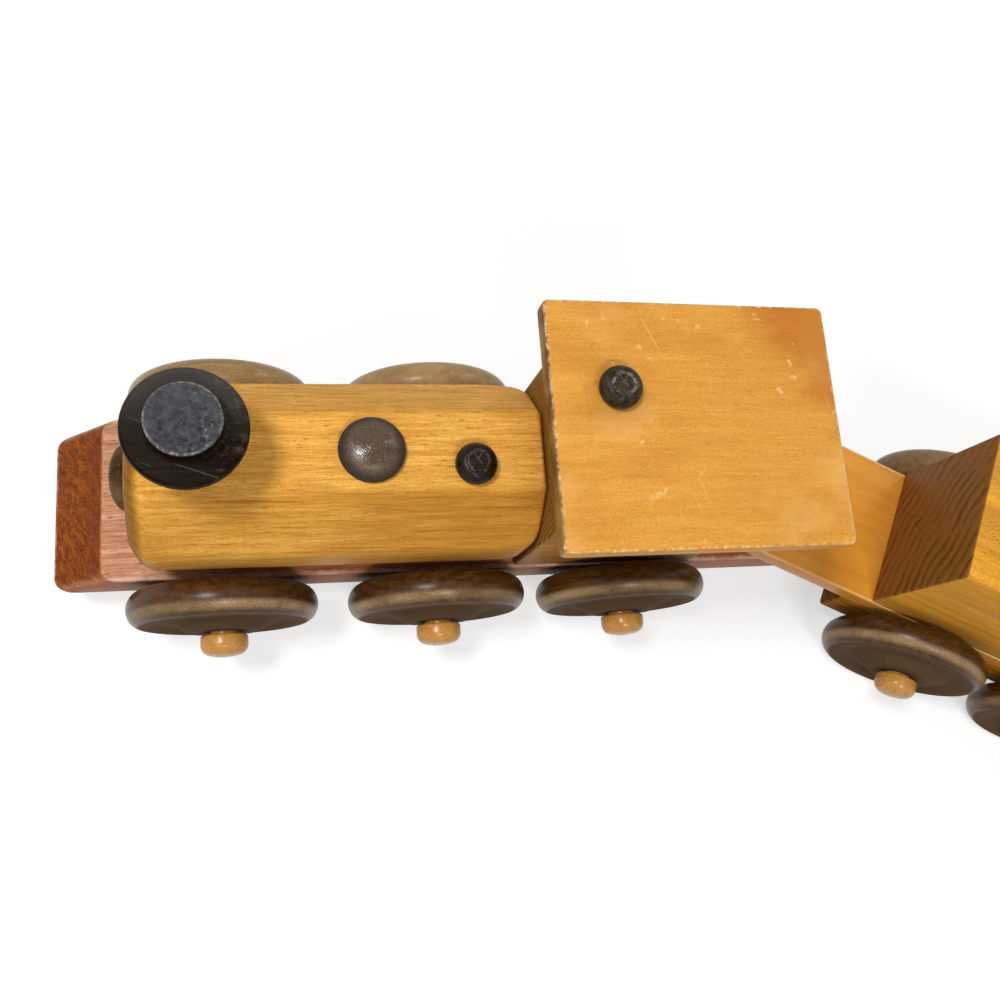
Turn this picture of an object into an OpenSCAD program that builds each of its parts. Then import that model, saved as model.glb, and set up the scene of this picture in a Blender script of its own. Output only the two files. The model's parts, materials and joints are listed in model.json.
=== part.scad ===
// Wooden toy steam engine with a tender hitched behind it.
// The engine runs towards -X, its left side is -Y, and the floor is z = 0.
// Engine pieces are placed by their distance behind the front edge of the chassis,
// tender pieces by their distance behind the hitch pin.

/* [Chassis] */
// Length of the engine chassis board
chassis_l = 254; // [230:1:280]
// Width of the engine chassis board
chassis_w = 50.8; // [44:0.2:60]
// Thickness of the engine chassis board
chassis_t = 18.8; // [16:0.2:24]
// Height of the axles above the underside of the engine chassis
axle_rise = 11.1; // [8:0.1:13]
// Length of the sloped nose of the chassis
nose_run = 16.6; // [6:0.2:19]
// Radius on the two upright corners of the nose
nose_corner_r = 5; // [2:0.2:8]
// Radius on the upright corners of every other board and block
corner_r = 1.8; // [0.6:0.1:4]
// Radius that eases the long edges of every board and block
edge_r = 0.9; // [0.3:0.1:1.6]

/* [Boiler] */
// Distance from the chassis front to the front face of the boiler
boiler_x = 27.4; // [24:0.2:32]
// Width of the boiler block across its side flats
boiler_w = 51.2; // [44:0.2:60]
// Height of the boiler block
boiler_h = 49.2; // [42:0.2:56]
// Width taken off each long corner of the boiler
boiler_chamfer_w = 14.4; // [8:0.2:18]
// Height taken off each long corner of the boiler
boiler_chamfer_h = 16.2; // [8:0.2:19]
// Radius that rounds the front end of the boiler
boiler_front_r = 8; // [3:0.2:10]
// Radius that rounds the rear end of the boiler
boiler_rear_r = 2.4; // [1:0.2:8]

/* [Cab] */
// Gap between the rear face of the cab and the tender's tongue
cab_rear_gap = 3.8; // [1:0.1:6]
// Length of the cab block
cab_l = 63.5; // [56:0.5:66]
// Width of the cab block
cab_w = 49.6; // [44:0.2:60]
// Height of the cab block
cab_h = 69.2; // [60:0.2:80]
// Diameter of the round window drilled through the cab
window_d = 25.4; // [16:0.2:34]
// Height of the window centre above the underside of the cab
window_z = 42; // [30:0.5:48]
// Length of the cab roof
roof_l = 84.2; // [74:0.2:90]
// Width of the cab roof
roof_w = 70; // [60:0.2:80]
// Thickness of the cab roof
roof_t = 7; // [4:0.2:10]
// Overhang of the roof in front of the cab
roof_front = 5.7; // [2:0.1:8]
// Sideways place of the cab roof, negative to the left
roof_y = -0.4; // [-2:0.1:2]

/* [Wheels] */
// Diameter of every wheel
wheel_d = 57.2; // [54:0.2:60]
// Thickness of a wheel at its rim
wheel_t = 11.2; // [9:0.1:13]
// Depth of the rounded tread, measured from the rim inwards
tread_round = 4.8; // [3:0.1:7]
// Diameter of the wheel hub
hub_d = 21; // [18:0.5:28]
// Height that the hub stands proud of the left face of each wheel
hub_proud = 1.9; // [0.2:0.1:2.1]
// Depth of the dished ring between hub and rim
dish_depth = 1.7; // [0.4:0.1:3]
// Distance from the chassis front to the front edge of the front wheels
wheels_x = 22.7; // [20:0.1:25]
// Gap between the front and the middle wheels
wheel_gap_front = 9.4; // [5:0.1:12]
// Gap between the middle and the rear wheels
wheel_gap_rear = 5.9; // [4:0.1:8]
// Gap between the chassis side and the rim of each wheel at rest
wheel_side_gap = 2.4; // [2.2:0.1:3.2]

/* [Axle pegs] */
// Diameter of the peg shanks
peg_d = 8.7; // [6:0.1:10]
// Length of the peg shanks
peg_l = 35; // [30:0.5:38]
// Diameter of the peg heads
peg_head_d = 14.3; // [12:0.1:17]
// Thickness of the peg heads
peg_head_t = 6.7; // [5:0.1:9]
// Radius on the end of the peg heads
peg_head_r = 3.4; // [1.5:0.1:4]
// Free play between each wheel and the head of its peg
end_play = 1.1; // [0.2:0.1:2]
// Radial clearance between a wheel and its peg, and between the tender and its hitch pin
run_gap = 0.08; // [0.04:0.01:0.1]
// Radial room for glue round every glued peg and tenon
glue_gap = 0.05; // [0:0.01:0.1]

/* [Fittings] */
// Distance from the chassis front to the smokestack
stack_x = 45.1; // [42:0.1:56]
// Height of the smokestack above the boiler
stack_h = 28.8; // [24:0.2:34]
// Diameter of the flared crown of the smokestack
stack_crown_d = 30.6; // [26:0.2:36]
// Diameter of the raised ring on top of the smokestack
stack_lip_d = 18.6; // [14:0.2:22]
// Height of the raised ring on top of the smokestack
stack_lip_h = 5.6; // [2:0.2:7]
// Diameter of the smokestack at its narrow waist
stack_waist_d = 15; // [11:0.2:18]
// Diameter of the tenon under the smokestack, the steam dome and the headlight
tenon_d = 9.5; // [6:0.1:10.5]
// Length of those tenons
tenon_l = 9; // [6:0.5:12]
// Diameter of the steam dome and of the headlight
button_d = 18.6; // [15:0.2:22]
// Height of the steam dome and of the headlight
button_h = 5.6; // [4:0.1:8]
// Distance from the middle of the steam dome back to the cab
dome_back = 49.9; // [44:0.1:58]
// Height of the headlight centre above the underside of the boiler
headlight_z = 24.6; // [21:0.2:27]
// Distance from the whistle on the boiler back to the cab
whistle_back = 21.3; // [16:0.1:28]
// Sideways place of the whistle on the boiler, negative to the left
whistle_y = -4.5; // [-6:0.1:3]
// Distance from the roof's front edge to the whistle on the roof
roof_whistle_x = 18.8; // [15:0.2:40]
// Sideways place of the whistle on the roof, negative to the left
roof_whistle_y = 8.5; // [-14:0.1:14]
// Diameter of the whistle heads
whistle_d = 12; // [9:0.1:14]
// Height of the whistle heads
whistle_h = 5.6; // [4:0.1:8]
// Diameter of the whistle shanks
whistle_shank_d = 5.6; // [4:0.1:7]
// Depth of the whistle shanks in the boiler, and in the cab below its roof
whistle_depth = 9; // [6:0.5:14]

/* [Hitch] */
// Distance from the hitch pin to the rear end of the chassis
hitch_inset = 19.2; // [16:0.1:20.4]
// Angle that the tender is swung to, negative towards the left side
tender_yaw = -25.7; // [-60:0.1:60]
// Gap between the chassis and the tender tongue, and between the tongue and the pin head
tongue_gap = 0.3; // [0.2:0.05:0.6]
// Depth of the hitch pin in the chassis
hitch_depth = 14; // [10:0.5:15]

/* [Tender] */
// Length of the tender deck behind the hitch pin
deck_l = 171.5; // [164:0.5:190]
// Width of the tender deck, frame and body
tender_w = 50.4; // [44:0.2:56]
// Thickness of the tender deck
deck_t = 7.9; // [6:0.1:11]
// Distance from the hitch pin to the tender body
body_x = 47.8; // [44:0.2:54]
// Length of the tender body
body_l = 114.3; // [100:0.5:116]
// Height of the tender body
body_h = 50.8; // [40:0.2:56]
// Distance from the hitch pin to the tender frame
frame_x = 41; // [38:0.2:44]
// Length of the tender frame
frame_l = 128; // [120:0.5:130]
// Thickness of the tender frame
frame_t = 15.9; // [14:0.1:18]
// Distance from the hitch pin to the front edge of the tender's front wheels
tender_wheels_x = 45.1; // [42:0.1:48]
// Gap between the tender's front and rear wheels
tender_wheel_gap = 6.3; // [4:0.1:9]

/* [Hidden] */
$fn = 96;

left = -1;
right = 1;
eps = 1;
// Room for glue under a tenon
end_room = 1;

wheel_r = wheel_d / 2;
tread_r = wheel_r - tread_round;
hub_t = wheel_t + hub_proud;
chassis_z = wheel_r - axle_rise;
chassis_top = chassis_z + chassis_t;
boiler_top = chassis_top + boiler_h;
hitch_x = chassis_l - hitch_inset;
cab_x = hitch_x - tender_w / 2 - cab_rear_gap - cab_l;
boiler_l = cab_x - boiler_x;
dome_x = cab_x - dome_back;
whistle_x = cab_x - whistle_back;
chamfer_angle = atan2(boiler_chamfer_h, boiler_chamfer_w);
chamfer_reach = boiler_w / 2 * sin(chamfer_angle)
    + (boiler_h / 2 - boiler_chamfer_h) * cos(chamfer_angle);
cab_top = chassis_top + cab_h;
roof_x = cab_x - roof_front;
deck_z = chassis_top + tongue_gap;
deck_top = deck_z + deck_t;
frame_z = deck_z - frame_t;
hitch_shank_l = deck_t + 2 * tongue_gap + hitch_depth;
front_axle = wheels_x + wheel_r;
middle_axle = front_axle + wheel_d + wheel_gap_front;
rear_axle = middle_axle + wheel_d + wheel_gap_rear;
engine_axles = [front_axle, middle_axle, rear_axle];
tender_front_axle = tender_wheels_x + wheel_r;
tender_axles = [tender_front_axle, tender_front_axle + wheel_d + tender_wheel_gap];

function half_width(on_tender) = (on_tender ? tender_w : chassis_w) / 2;
// Every wheel has its hub on its left, so only the left pegs stand out past a hub.
function peg_gap(side) = wheel_side_gap + (side == left ? hub_t : wheel_t) + end_play;
function wheel_y(on_tender) = half_width(on_tender) + wheel_side_gap + wheel_t / 2;
function peg_end(side, on_tender) = half_width(on_tender) + peg_gap(side) + peg_head_t;

// How far the whole train reaches, to place the origin under the middle of it.
// du and dv are the parts of a direction along and across a wheel's own vehicle.
function wheel_reach(du, dv) = abs(du) * tread_r
    + norm([dv * wheel_t / 2, du * tread_round]);
function head_reach(du, dv) = abs(du) * (peg_head_d / 2 - peg_head_r) + peg_head_r
    - abs(dv) * peg_head_r;
function deck_reach(du, dv) = du * (deck_l - corner_r) + abs(dv) * (tender_w / 2 - corner_r)
    + corner_r;
function axle_reach(u, du, dv) = max([for (side = [left, right])
    max(u * du + side * wheel_y(true) * dv + wheel_reach(du, dv),
        u * du + side * peg_end(side, true) * dv + head_reach(du, dv))]);
function tender_reach(du, dv) = max(deck_reach(du, dv),
    max([for (u = tender_axles) axle_reach(u, du, dv)]));
function reach_at(angle) = tender_reach(cos(angle - tender_yaw), sin(angle - tender_yaw));

x_max = max(chassis_l, hitch_x + reach_at(0));
y_max = max(peg_end(right, false), reach_at(90));
y_min = -max(peg_end(left, false), reach_at(-90));
middle = [x_max / 2, (y_min + y_max) / 2, 0];

module on_floor() {
    translate(-middle) children();
}

module on_tender() {
    on_floor() translate([hitch_x, 0, 0]) rotate([0, 0, tender_yaw]) children();
}

// Rectangle from the origin along x, centred in y, with rounded corners.
module round_rect(length, width, r) {
    translate([r, -width / 2]) square([length - 2 * r, width]);
    translate([0, r - width / 2]) square([length, width - 2 * r]);
    for (x = [r, length - r], y = [r - width / 2, width / 2 - r]) translate([x, y]) circle(r);
}

// Sawn board or block with rounded upright corners and eased edges.
module board(length, width, height, r = corner_r) {
    intersection() {
        linear_extrude(height) round_rect(length, width, r);
        translate([0, 0, height / 2]) rotate([90, 0, 0])
            linear_extrude(width + 2 * eps, center = true) round_rect(length, height, edge_r);
        rotate([90, 0, 90]) linear_extrude(length)
            translate([0, height / 2]) rotate(90) translate([-height / 2, 0])
                round_rect(height, width, edge_r);
    }
}

// Hole drilled straight across a board at axle height.
module axle_hole(x, width) {
    translate([x, 0, wheel_r]) rotate([90, 0, 0])
        cylinder(h = width + 2 * eps, d = peg_d + 2 * glue_gap, center = true);
}

module engine_chassis() {
    color("#a8613c") on_floor() difference() {
        translate([0, 0, chassis_z]) intersection() {
            board(chassis_l, chassis_w, chassis_t);
            translate([0, 0, -eps]) linear_extrude(chassis_t + 2 * eps)
                round_rect(chassis_l + nose_corner_r, chassis_w, nose_corner_r);
            rotate([90, 0, 0]) linear_extrude(chassis_w + 2 * eps, center = true)
                polygon([[0, 0], [chassis_l, 0], [chassis_l, chassis_t],
                    [nose_run, chassis_t]]);
        }
        for (x = engine_axles) axle_hole(x, chassis_w);
        translate([hitch_x, 0, chassis_top - hitch_depth])
            cylinder(h = hitch_depth + eps, d = peg_d + 2 * glue_gap);
    }
}

// Slab lying along the boiler, with the given half thickness and rounded ends, turned about it.
module boiler_slab(half_t, angle) {
    front = boiler_front_r;
    rear = boiler_rear_r;
    rotate([angle, 0, 0]) rotate([90, 0, 0]) linear_extrude(4 * half_t, center = true) {
        translate([front, -half_t]) square([boiler_l - front - rear, 2 * half_t]);
        translate([0, front - half_t]) square([boiler_l - rear, 2 * (half_t - front)]);
        translate([front, rear - half_t]) square([boiler_l - front, 2 * (half_t - rear)]);
        for (side = [left, right]) {
            translate([front, side * (half_t - front)]) circle(front);
            translate([boiler_l - rear, side * (half_t - rear)]) circle(rear);
        }
    }
}

// Profile points of a turned tenon below z = 0.
function tenon(r, length) = [[0, -length], [r, -length], [r, 0]];

module tenon_hole(depth, d) {
    translate([0, 0, -depth]) cylinder(h = depth + eps, d = d + 2 * glue_gap);
}

module boiler() {
    color("#d19a3f") on_floor() translate([boiler_x, 0, chassis_top]) difference() {
        translate([0, 0, boiler_h / 2]) intersection() {
            intersection() {
                boiler_slab(boiler_h / 2, 0);
                boiler_slab(boiler_w / 2, 90);
            }
            intersection() {
                boiler_slab(chamfer_reach, chamfer_angle);
                boiler_slab(chamfer_reach, -chamfer_angle);
            }
        }
        translate([stack_x - boiler_x, 0, boiler_h]) tenon_hole(tenon_l, tenon_d);
        translate([dome_x - boiler_x, 0, boiler_h]) tenon_hole(tenon_l, tenon_d);
        translate([whistle_x - boiler_x, whistle_y, boiler_h])
            tenon_hole(whistle_depth, whistle_shank_d);
        translate([0, 0, headlight_z]) rotate([0, -90, 0]) tenon_hole(tenon_l, tenon_d);
    }
}

module cab() {
    color("#b98443") on_floor() translate([cab_x, 0, chassis_top]) difference() {
        board(cab_l, cab_w, cab_h);
        translate([cab_l / 2, 0, window_z]) rotate([90, 0, 0])
            cylinder(h = cab_w + 2 * eps, d = window_d, center = true);
        translate([roof_whistle_x - roof_front, roof_whistle_y, cab_h])
            tenon_hole(whistle_depth, whistle_shank_d);
    }
}

module cab_roof() {
    color("#e0a24a") on_floor() translate([roof_x, roof_y, cab_top]) difference() {
        board(roof_l, roof_w, roof_t);
        translate([roof_whistle_x, roof_whistle_y - roof_y, roof_t])
            tenon_hole(roof_t + eps, whistle_shank_d);
    }
}

// Points along a quarter turn or more of an arc, from angle a0 to a1.
function arc(x, y, r, a0, a1, steps) =
    [for (i = [0:steps]) let (a = a0 + (a1 - a0) * i / steps) [x + r * cos(a), y + r * sin(a)]];

// Smokestack turned in one piece: tenon, foot, waist, flared crown and raised ring.
module smokestack() {
    foot_h = 1.6;
    cove_r = 1.6;
    crown_edge = 1.1;
    crown_side = 1.8;
    crown_rise = 0.4;
    under_crown = -60;
    lip_foot = 0.6;
    lip_edge = 0.7;
    waist_r = stack_waist_d / 2;
    foot_r = waist_r + cove_r;
    crown_r = stack_crown_d / 2;
    lip_r = stack_lip_d / 2;
    lip_z = stack_h - stack_lip_h;
    crown_top = lip_z - crown_rise;
    crown_z = crown_top - crown_side - 2 * crown_edge;
    flare_z = 5;
    flare_r = crown_r - crown_edge - waist_r;
    flare_h = crown_z - flare_z;
    flare_steps = 12;
    flare = [for (i = [0:flare_steps]) let (a = 90 * i / flare_steps)
        [waist_r + flare_r * (1 - cos(a)), flare_z + flare_h * sin(a)]];
    color("#2b2624") on_floor() translate([stack_x, 0, boiler_top]) rotate_extrude() polygon(concat(
        tenon(tenon_d / 2, tenon_l - end_room),
        [[foot_r, 0], [foot_r, foot_h]],
        arc(foot_r, flare_z - cove_r, cove_r, -90, -180, 6),
        flare,
        arc(crown_r - crown_edge, crown_z + crown_edge, crown_edge, under_crown, 0, 5),
        arc(crown_r - crown_edge, crown_top - crown_edge, crown_edge, 0, 90, 6),
        [[lip_r + lip_foot, lip_z], [lip_r, lip_z + lip_foot]],
        arc(lip_r - lip_edge, stack_h - lip_edge, lip_edge, 0, 90, 5),
        [[0, stack_h]]));
}

// Turned button with a domed face and a tenon, standing on z = 0.
module button() {
    button_r = button_d / 2;
    foot_in = 0.8;
    foot_h = 0.5;
    skirt = 1.2;
    dome_steps = 12;
    color("#4a3527") rotate_extrude() polygon(concat(
        tenon(tenon_d / 2, tenon_l - end_room),
        [[button_r - foot_in, 0], [button_r - foot_in / 4, foot_h]],
        [for (i = [0:dome_steps]) let (a = 90 * i / dome_steps)
            [button_r * cos(a), skirt + (button_h - skirt) * sin(a)]]));
}

module steam_dome() {
    on_floor() translate([dome_x, 0, boiler_top]) button();
}

module headlight() {
    on_floor() translate([boiler_x, 0, chassis_top + headlight_z]) rotate([0, -90, 0]) button();
}

// Small round-shouldered peg standing on z = 0, with its shank below.
module whistle(shank_l) {
    shoulder_r = 1.7;
    foot_in = 1.4;
    worn_flat = 0.8;
    shoulder_z = whistle_h * 0.46;
    head_r = whistle_d / 2;
    top_r = head_r - shoulder_r;
    color("#2e2622") rotate_extrude() polygon(concat(
        tenon(whistle_shank_d / 2, shank_l),
        [[head_r - foot_in, 0]],
        [for (a = [-50:20:70])
            [top_r + shoulder_r * cos(a), shoulder_z + (whistle_h - shoulder_z) * sin(a)]],
        [[top_r * worn_flat, whistle_h], [0, whistle_h]]));
}

module boiler_whistle() {
    on_floor() translate([whistle_x, whistle_y, boiler_top]) whistle(whistle_depth);
}

module roof_whistle() {
    on_floor() translate([roof_x + roof_whistle_x, roof_whistle_y, cab_top + roof_t])
        whistle(roof_t + whistle_depth);
}

// Mushroom-headed peg along +Z: its shank ends below z = 0 and its head starts there.
module mushroom_peg(shank_l) {
    tip = 0.8;
    under_r = 1.2;
    last = 75;
    crown_steps = 6;
    head_r = peg_head_d / 2;
    shank_r = peg_d / 2;
    round_x = head_r - peg_head_r;
    crown_x = round_x + peg_head_r * cos(last);
    crown_h = crown_x * tan(90 - last) / 2;
    round_z = peg_head_t - crown_h - peg_head_r * sin(last);
    color("#c98f45") rotate_extrude() polygon(concat(
        [[0, -shank_l], [shank_r - tip, -shank_l], [shank_r, tip - shank_l], [shank_r, 0]],
        arc(head_r - under_r, under_r, under_r, -90, 0, 4),
        arc(round_x, round_z, peg_head_r, 0, last, 8),
        [for (i = [1:crown_steps]) let (t = 1 - i / crown_steps)
            [crown_x * t, peg_head_t - crown_h * t * t]]));
}

module peg_at(x, side, on_tender) {
    translate([x, side * (half_width(on_tender) + peg_gap(side)), wheel_r])
        rotate([-90 * side, 0, 0]) mushroom_peg(peg_l);
}

// Height of a wheel's face above its middle plane: a dished ring, then a hub.
function face_v(r, proud) = let (hub_r = hub_d / 2, t = (r - hub_r) / (tread_r - hub_r))
    wheel_t / 2 - dish_depth * pow(sin(180 * t), 2) + proud * pow(1 - t, 3);

// Points of one face of a wheel, from the tread in to its bore.
function face(proud, bore_r) = let (hub_r = hub_d / 2, hub_edge = 0.6, steps = 12)
    concat([for (i = [1:steps]) let (r = tread_r - (tread_r - hub_r) * i / steps)
        [r, face_v(r, proud)]],
        [[hub_r - hub_edge, wheel_t / 2 + proud], [bore_r, wheel_t / 2 + proud]]);

// Turned wheel about z, with its hub proud at the top.
module wheel() {
    bore_r = peg_d / 2 + run_gap;
    tread_steps = 14;
    top = face(hub_proud, bore_r);
    under = face(0, bore_r);
    last = len(under) - 1;
    tread = [for (i = [0:tread_steps]) let (a = -90 + 180 * i / tread_steps)
        [tread_r + tread_round * cos(a), wheel_t / 2 * sin(a)]];
    color("#4f3a24") rotate_extrude() polygon(concat(
        [for (i = [last:-1:0]) [under[i][0], -under[i][1]]], tread, top));
}

module wheel_at(x, side, on_tender) {
    translate([x, side * wheel_y(on_tender), wheel_r]) rotate([90, 0, 0]) wheel();
}

module engine_peg(axle, side) {
    on_floor() peg_at(engine_axles[axle], side, false);
}

module engine_wheel(axle, side) {
    on_floor() wheel_at(engine_axles[axle], side, false);
}

module tender_peg(axle, side) {
    on_tender() peg_at(tender_axles[axle], side, true);
}

module tender_wheel(axle, side) {
    on_tender() wheel_at(tender_axles[axle], side, true);
}

module hitch_pin() {
    on_floor() translate([hitch_x, 0, deck_top + tongue_gap]) mushroom_peg(hitch_shank_l);
}

// Deck board with a half-round tongue that turns about the hitch pin.
module tender_deck() {
    color("#dd9a3c") on_tender() translate([0, 0, deck_z]) difference() {
        union() {
            intersection() {
                translate([-tender_w, 0, 0]) board(deck_l + tender_w, tender_w, deck_t);
                translate([0, -tender_w, -eps]) cube([deck_l + eps, 2 * tender_w, deck_t + 2 * eps]);
            }
            intersection() {
                rotate_extrude() polygon(concat([[0, 0]],
                    arc(tender_w / 2 - edge_r, edge_r, edge_r, -90, 0, 4),
                    arc(tender_w / 2 - edge_r, deck_t - edge_r, edge_r, 0, 90, 4), [[0, deck_t]]));
                translate([-tender_w, -tender_w, -eps])
                    cube([tender_w, 2 * tender_w, deck_t + 2 * eps]);
            }
        }
        translate([0, 0, -eps]) cylinder(h = deck_t + 2 * eps, d = peg_d + 2 * run_gap);
    }
}

module tender_frame() {
    color("#5b3a20") on_tender() difference() {
        translate([frame_x, 0, frame_z]) board(frame_l, tender_w, frame_t);
        for (x = tender_axles) axle_hole(x, tender_w);
    }
}

module tender_body() {
    color("#a8712f") on_tender() translate([body_x, 0, deck_top])
        board(body_l, tender_w, body_h);
}

engine_chassis();
boiler();
cab();
cab_roof();
smokestack();
steam_dome();
headlight();
boiler_whistle();
roof_whistle();
hitch_pin();
engine_peg(0, left);  // front_left_engine_peg
engine_peg(1, left);  // middle_left_engine_peg
engine_peg(2, left);  // rear_left_engine_peg
engine_peg(0, right);  // front_right_engine_peg
engine_peg(1, right);  // middle_right_engine_peg
engine_peg(2, right);  // rear_right_engine_peg
engine_wheel(0, left);  // front_left_engine_wheel
engine_wheel(1, left);  // middle_left_engine_wheel
engine_wheel(2, left);  // rear_left_engine_wheel
engine_wheel(0, right);  // front_right_engine_wheel
engine_wheel(1, right);  // middle_right_engine_wheel
engine_wheel(2, right);  // rear_right_engine_wheel
tender_deck();
tender_frame();
tender_body();
tender_peg(0, left);  // front_left_tender_peg
tender_peg(1, left);  // rear_left_tender_peg
tender_peg(0, right);  // front_right_tender_peg
tender_peg(1, right);  // rear_right_tender_peg
tender_wheel(0, left);  // front_left_tender_wheel
tender_wheel(1, left);  // rear_left_tender_wheel
tender_wheel(0, right);  // front_right_tender_wheel
tender_wheel(1, right);  // rear_right_tender_wheel
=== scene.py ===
import functools
import json
import math
import bpy
from mathutils import Matrix, Vector


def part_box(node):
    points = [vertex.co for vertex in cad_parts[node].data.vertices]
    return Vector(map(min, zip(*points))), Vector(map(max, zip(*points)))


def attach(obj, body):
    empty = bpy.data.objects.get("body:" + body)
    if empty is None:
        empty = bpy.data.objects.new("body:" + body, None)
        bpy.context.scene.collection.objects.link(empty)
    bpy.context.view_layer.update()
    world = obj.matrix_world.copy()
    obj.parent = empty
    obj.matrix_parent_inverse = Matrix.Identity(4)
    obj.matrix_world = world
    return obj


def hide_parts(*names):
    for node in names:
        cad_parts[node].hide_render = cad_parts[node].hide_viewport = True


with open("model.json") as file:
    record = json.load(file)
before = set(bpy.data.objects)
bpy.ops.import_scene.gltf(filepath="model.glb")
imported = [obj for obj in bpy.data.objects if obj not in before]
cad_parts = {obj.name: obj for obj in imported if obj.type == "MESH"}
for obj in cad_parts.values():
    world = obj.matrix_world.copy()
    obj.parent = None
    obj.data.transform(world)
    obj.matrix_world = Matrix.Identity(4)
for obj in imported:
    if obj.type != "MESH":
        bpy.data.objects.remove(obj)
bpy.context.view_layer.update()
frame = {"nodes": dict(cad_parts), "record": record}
print("frame loaded:", len(frame["nodes"]), "nodes")

mm = 0.001
record = frame["record"]
bodyOf = {node: body for body, nodes in record["behaviour"]["bodies"].items() for node in nodes}
joints = {joint["child"]: joint for joint in record["behaviour"]["joints"]}

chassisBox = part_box("engine_chassis")
chassisLength = 254 * mm
noseX = chassisBox[1].x - chassisLength                       # front bottom edge of the nose
middleY = (chassisBox[0].y + chassisBox[1].y) / 2
hitch = Vector(joints["tender"]["pos_m"])
tenderAxle = Vector(joints["front_left_tender_wheel"]["axis"])
tenderYaw = math.atan2(-tenderAxle.x, tenderAxle.y)           # how far the tender is swung
toTender = Matrix.Translation((hitch.x, hitch.y, 0)) @ Matrix.Rotation(tenderYaw, 4, "Z")


# Small helpers

def hexColour(code):
    # sRGB hex to linear
    parts = [int(code[i:i + 2], 16) / 255 for i in (1, 3, 5)]
    return [p / 12.92 if p <= 0.04045 else ((p + 0.055) / 1.055) ** 2.4 for p in parts] + [1.0]


def addNode(tree, kind, inputs=None, **settings):
    # an input is given as a value, a socket, or a node, which stands for its first live output
    node = tree.nodes.new(kind)
    for name, value in settings.items():
        setattr(node, name, value)
    for socket, value in (inputs or {}).items():
        if isinstance(value, bpy.types.Node):
            value = next(output for output in value.outputs if output.enabled)
        if isinstance(value, bpy.types.NodeSocket):
            tree.links.new(value, node.inputs[socket])
        else:
            node.inputs[socket].default_value = value
    return node


def editMode():
    bpy.ops.object.mode_set(mode="EDIT")


def objectMode():
    bpy.ops.object.mode_set(mode="OBJECT")


def clearSelection():
    if bpy.context.object and bpy.context.object.mode != "OBJECT":
        objectMode()
    bpy.ops.object.select_all(action="DESELECT")


def pickEdges(piece, test):
    # selects the sharp edges whose two ends pass the test
    sharpDeg = 30
    objectMode()
    mesh = piece.data
    for part in (mesh.vertices, mesh.edges, mesh.polygons):
        part.foreach_set("select", [False] * len(part))
    sides = {}
    for face in mesh.polygons:
        for key in face.edge_keys:
            sides.setdefault(key, []).append(face.normal.copy())
    for edge in mesh.edges:
        a, b = (mesh.vertices[i].co for i in edge.vertices)
        normals = sides[edge.key]
        sharp = len(normals) == 1 or normals[0].angle(normals[1]) > math.radians(sharpDeg)
        edge.select = sharp and test(a, b)
    editMode()
    bpy.ops.mesh.select_mode(type="EDGE")


def settle(piece, place=None, smoothAngle=35):
    # puts the piece in place for good, with its object at the origin
    clearSelection()
    piece.select_set(True)
    bpy.context.view_layer.objects.active = piece
    if place is not None:
        piece.matrix_world = place @ piece.matrix_world
    bpy.ops.object.transform_apply(location=True, rotation=True, scale=True)
    bpy.ops.object.shade_smooth_by_angle(angle=math.radians(smoothAngle))
    return piece


def standFor(piece, node, material):
    piece.name = node.title().replace("_", "")
    piece.data.materials.clear()
    piece.data.materials.append(material)
    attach(piece, bodyOf[node])
    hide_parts(node)


def topCentre(node):
    low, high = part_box(node)
    return Vector(((low.x + high.x) / 2, (low.y + high.y) / 2, high.z))


def footOf(node, height):
    # where an upright turned piece stands, so that its top comes where its node's top is
    return Matrix.Translation(topCentre(node) - Vector((0, 0, height)))


def copyOf(piece):
    twin = piece.copy()
    twin.data = piece.data.copy()
    bpy.context.scene.collection.objects.link(twin)
    return twin


def sawnBlock(low, high):
    # plain block between two corners
    clearSelection()
    size = Vector(high) - Vector(low)
    bpy.ops.mesh.primitive_cube_add(size=1, location=(Vector(low) + Vector(high)) / 2, scale=size)
    block = bpy.context.object
    bpy.ops.object.transform_apply(location=True, rotation=True, scale=True)
    return block


def easeEdges(piece, width, segments=4, test=lambda a, b: True):
    # rounds the sharp edges that pass the test
    pickEdges(piece, test)
    bpy.ops.mesh.bevel(offset=width, segments=segments, affect="EDGES", profile=0.5)
    objectMode()


def turnOnLathe(profile, sides=96, bored=False):
    # turns a profile of (radius, height) points about Z, from its first point to its last
    clearSelection()
    radius, height = profile[0]
    bpy.ops.mesh.primitive_circle_add(vertices=sides, radius=radius, location=(0, 0, height),
                                      fill_type="NOTHING" if bored else "NGON")
    piece = bpy.context.object
    bpy.ops.object.transform_apply(location=True, rotation=True, scale=True)
    editMode()
    bpy.ops.mesh.select_mode(type="VERT" if bored else "FACE")
    bpy.ops.mesh.select_all(action="SELECT")
    for nextRadius, nextHeight in profile[1:]:
        bpy.ops.mesh.extrude_region_move(TRANSFORM_OT_translate={"value": (0, 0, nextHeight - height)})
        grow = nextRadius / radius
        bpy.ops.transform.resize(value=(grow, grow, 1), center_override=(0, 0, nextHeight))
        radius, height = nextRadius, nextHeight
    if bored:
        bpy.ops.mesh.select_all(action="DESELECT")
        bpy.ops.mesh.select_non_manifold(extend=False)
        bpy.ops.mesh.bridge_edge_loops()
    bpy.ops.mesh.select_all(action="SELECT")
    bpy.ops.mesh.normals_make_consistent(inside=False)
    objectMode()
    # keeps each point's place on the lathe in millimetres, for the materials of turned pieces
    spots = piece.data.attributes.new("lathe", "FLOAT_VECTOR", "POINT")
    spots.data.foreach_set("vector", [c / mm for vertex in piece.data.vertices for c in vertex.co])
    return piece


def arcPoints(x, y, rx, ry, startDeg, endDeg, steps):
    # points along part of an ellipse about (x, y)
    angles = [math.radians(startDeg + (endDeg - startDeg) * i / steps) for i in range(steps + 1)]
    return [(x + rx * math.cos(a), y + ry * math.sin(a)) for a in angles]


# Wood

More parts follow.
